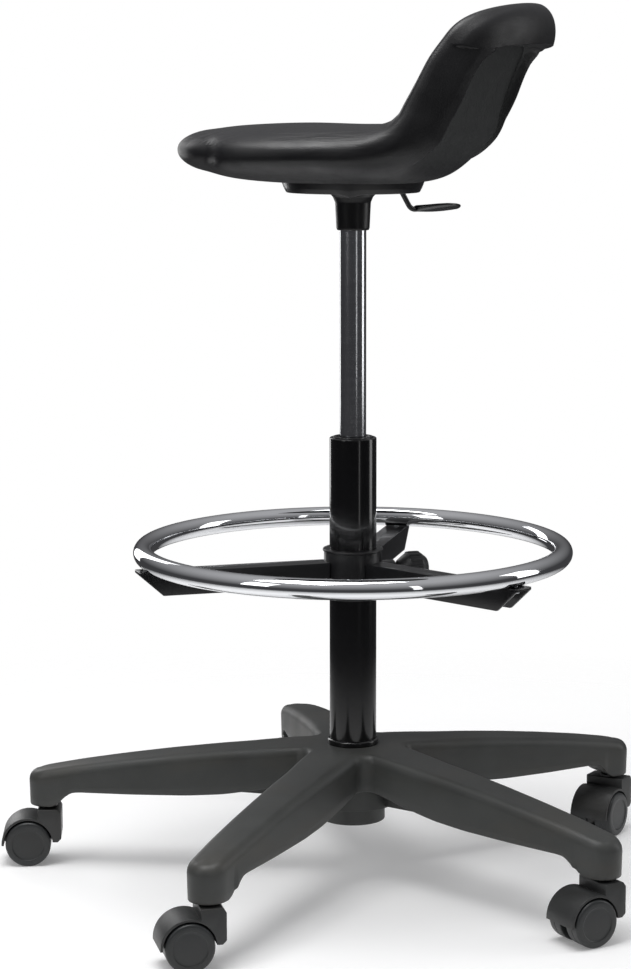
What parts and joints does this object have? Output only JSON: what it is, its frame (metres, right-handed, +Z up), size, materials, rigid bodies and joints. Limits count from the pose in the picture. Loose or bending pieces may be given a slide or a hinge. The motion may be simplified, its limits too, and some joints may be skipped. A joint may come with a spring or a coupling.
{
  "type": "drafting chair",
  "caption": "Tall drafting chair: moulded seat with a low backrest on a gas lift, a height-adjustable foot ring and a five-arm caster base.",
  "frame": {"origin": "on the floor, at the centre of the base footprint; the column stands 28 mm towards -X and 34 mm towards +Y from it", "axes": "+Z up along the column; the sitter faces -Y"},
  "size_m": [0.6959, 0.7099, 0.9271],
  "materials": {
    "seat_skin": "self-skinned polyurethane, fine leather grain, semi-gloss",
    "board": "plain plywood",
    "black_steel": "satin black powder coat",
    "zinc_steel": "bright zinc plate",
    "column_gloss": "gloss black lacquer",
    "satin_steel": "ground steel",
    "chrome": "mirror",
    "nylon": "charcoal glass-filled nylon, satin",
    "caster_nylon": "black nylon, satin",
    "wheel_nylon": "black nylon, satin",
    "black_plastic": "black moulding",
    "acetal": "natural acetal",
    "rubber": "matt"
  },
  "bodies": {
    "base": {"base": "nylon", "base_hub_ring": "column_gloss", "column_tube": "column_gloss", "column_guide_bush": "black_plastic", "thrust_washer": "zinc_steel", "thrust_bearing": "acetal", "caster_1_stem": "zinc_steel", "caster_2_stem": "zinc_steel", "caster_3_stem": "zinc_steel", "caster_4_stem": "zinc_steel", "caster_5_stem": "zinc_steel"},
    "rod": {"piston_rod": "zinc_steel", "piston_head": "acetal", "rod_clip": "zinc_steel", "rod_washer": "zinc_steel", "rod_buffer": "rubber"},
    "seat": {"gas_cylinder": "satin_steel", "cylinder_gland": "black_plastic", "seat_socket": "black_steel", "seat_plate": "black_steel", "seat_board": "board", "seat_pad": "seat_skin", "lever_pivot_pin": "zinc_steel", "seat_bolt_1": "zinc_steel", "seat_bolt_2": "zinc_steel", "seat_bolt_3": "zinc_steel", "seat_bolt_4": "zinc_steel"},
    "button": {"release_button": "acetal"},
    "lever": {"lever_rod": "black_steel", "lever_paddle": "black_plastic"},
    "ring_slide": {"footring_liner": "black_plastic"},
    "ring": {"footring": "chrome", "footring_hub": "black_steel", "footring_screw_1": "zinc_steel", "footring_screw_2": "zinc_steel", "footring_screw_3": "zinc_steel"},
    "clamp_pad": {"clamp_pad": "acetal"},
    "clamp_knob": {"clamp_knob": "black_plastic", "clamp_stud": "zinc_steel"},
    "caster_1": {"caster_1_hood": "caster_nylon", "caster_1_axle": "zinc_steel"},
    "caster_1_left": {"caster_1_wheel_left": "wheel_nylon"},
    "caster_1_right": {"caster_1_wheel_right": "wheel_nylon"},
    "caster_2": {"caster_2_hood": "caster_nylon", "caster_2_axle": "zinc_steel"},
    "caster_2_left": {"caster_2_wheel_left": "wheel_nylon"},
    "caster_2_right": {"caster_2_wheel_right": "wheel_nylon"},
    "caster_3": {"caster_3_hood": "caster_nylon", "caster_3_axle": "zinc_steel"},
    "caster_3_left": {"caster_3_wheel_left": "wheel_nylon"},
    "caster_3_right": {"caster_3_wheel_right": "wheel_nylon"},
    "caster_4": {"caster_4_hood": "caster_nylon", "caster_4_axle": "zinc_steel"},
    "caster_4_left": {"caster_4_wheel_left": "wheel_nylon"},
    "caster_4_right": {"caster_4_wheel_right": "wheel_nylon"},
    "caster_5": {"caster_5_hood": "caster_nylon", "caster_5_axle": "zinc_steel"},
    "caster_5_left": {"caster_5_wheel_left": "wheel_nylon"},
    "caster_5_right": {"caster_5_wheel_right": "wheel_nylon"}
  },
  "joints": [
    {"name": "seat_swivel", "type": "hinge", "parent": "base", "child": "rod", "pos_m": [-0.02811, 0.03416, 0.1], "axis": [0, 0, 1], "continuous": true},
    {"name": "seat_height", "type": "slide", "parent": "rod", "child": "seat", "axis": [0, 0, 1], "range_m": [-0.2, 0]},
    {"name": "lever_lift", "type": "hinge", "parent": "seat", "child": "lever", "pos_m": [-0.0675, 0.06494, 0.746], "axis": [0.6157, 0.788, 0], "range_deg": [0, 4], "stiffness_Nm_per_rad": 1.5, "springref_deg": -6.88},
    {"name": "button_press", "type": "slide", "parent": "seat", "child": "button", "axis": [0, 0, -1], "range_m": [0, 0.0035]},
    {"name": "footring_height", "type": "slide", "parent": "base", "child": "ring_slide", "axis": [0, 0, 1], "range_m": [-0.11, 0.1]},
    {"name": "footring_turn", "type": "hinge", "parent": "ring_slide", "child": "ring", "pos_m": [-0.02811, 0.03416, 0.33], "axis": [0, 0, 1], "continuous": true},
    {"name": "clamp_pad_slide", "type": "slide", "parent": "ring", "child": "clamp_pad", "axis": [-0.5299, 0.848, 0], "range_m": [0, 0.0023]},
    {"name": "clamp_knob_turn", "type": "hinge", "parent": "clamp_pad", "child": "clamp_knob", "pos_m": [-0.0546, 0.07656, 0.331], "axis": [-0.5299, 0.848, 0], "range_deg": [0, 540]},
    {"name": "caster_1_swivel", "type": "hinge", "parent": "base", "child": "caster_1", "pos_m": [0.12779, 0.33237, 0], "axis": [0, 0, 1], "continuous": true},
    {"name": "caster_1_left_spin", "type": "hinge", "parent": "caster_1", "child": "caster_1_left", "pos_m": [0.14362, 0.31708, 0.02469], "axis": [0.6947, 0.7193, 0], "continuous": true},
    {"name": "caster_1_right_spin", "type": "hinge", "parent": "caster_1", "child": "caster_1_right", "pos_m": [0.14362, 0.31708, 0.02469], "axis": [0.6947, 0.7193, 0], "continuous": true},
    {"name": "caster_2_swivel", "type": "hinge", "parent": "base", "child": "caster_2", "pos_m": [-0.26354, 0.27458, 0], "axis": [0, 0, 1], "continuous": true},
    {"name": "caster_2_left_spin", "type": "hinge", "parent": "caster_2", "child": "caster_2_left", "pos_m": [-0.2425, 0.26815, 0.02469], "axis": [0.2924, 0.9563, 0], "continuous": true},
    {"name": "caster_2_right_spin", "type": "hinge", "parent": "caster_2", "child": "caster_2_right", "pos_m": [-0.2425, 0.26815, 0.02469], "axis": [0.2924, 0.9563, 0], "continuous": true},
    {"name": "caster_3_swivel", "type": "hinge", "parent": "base", "child": "caster_3", "pos_m": [-0.32951, -0.11546, 0], "axis": [0, 0, 1], "continuous": true},
    {"name": "caster_3_left_spin", "type": "hinge", "parent": "caster_3", "child": "caster_3_left", "pos_m": [-0.30884, -0.10794, 0.02469], "axis": [-0.342, 0.9397, 0], "continuous": true},
    {"name": "caster_3_right_spin", "type": "hinge", "parent": "caster_3", "child": "caster_3_right", "pos_m": [-0.30884, -0.10794, 0.02469], "axis": [-0.342, 0.9397, 0], "continuous": true},
    {"name": "caster_4_swivel", "type": "hinge", "parent": "base", "child": "caster_4", "pos_m": [0.02105, -0.29873, 0], "axis": [0, 0, 1], "continuous": true},
    {"name": "caster_4_left_spin", "type": "hinge", "parent": "caster_4", "child": "caster_4_left", "pos_m": [0.02822, -0.31953, 0.02469], "axis": [0.9455, 0.3256, 0], "continuous": true},
    {"name": "caster_4_right_spin", "type": "hinge", "parent": "caster_4", "child": "caster_4_right", "pos_m": [0.02822, -0.31953, 0.02469], "axis": [0.9455, 0.3256, 0], "continuous": true},
    {"name": "caster_5_swivel", "type": "hinge", "parent": "base", "child": "caster_5", "pos_m": [0.30368, -0.02196, 0], "axis": [0, 0, 1], "continuous": true},
    {"name": "caster_5_left_spin", "type": "hinge", "parent": "caster_5", "child": "caster_5_left", "pos_m": [0.31435, -0.0412, 0.02469], "axis": [0.8746, 0.4848, 0], "continuous": true},
    {"name": "caster_5_right_spin", "type": "hinge", "parent": "caster_5", "child": "caster_5_right", "pos_m": [0.31435, -0.0412, 0.02469], "axis": [0.8746, 0.4848, 0], "continuous": true}
  ],
  "couplings": [
    {"joint": "button_press", "follows": "lever_lift", "m_per_rad": 0.05},
    {"joint": "clamp_pad_slide", "follows": "clamp_knob_turn", "m_per_rad": 0.00023873}
  ]
}
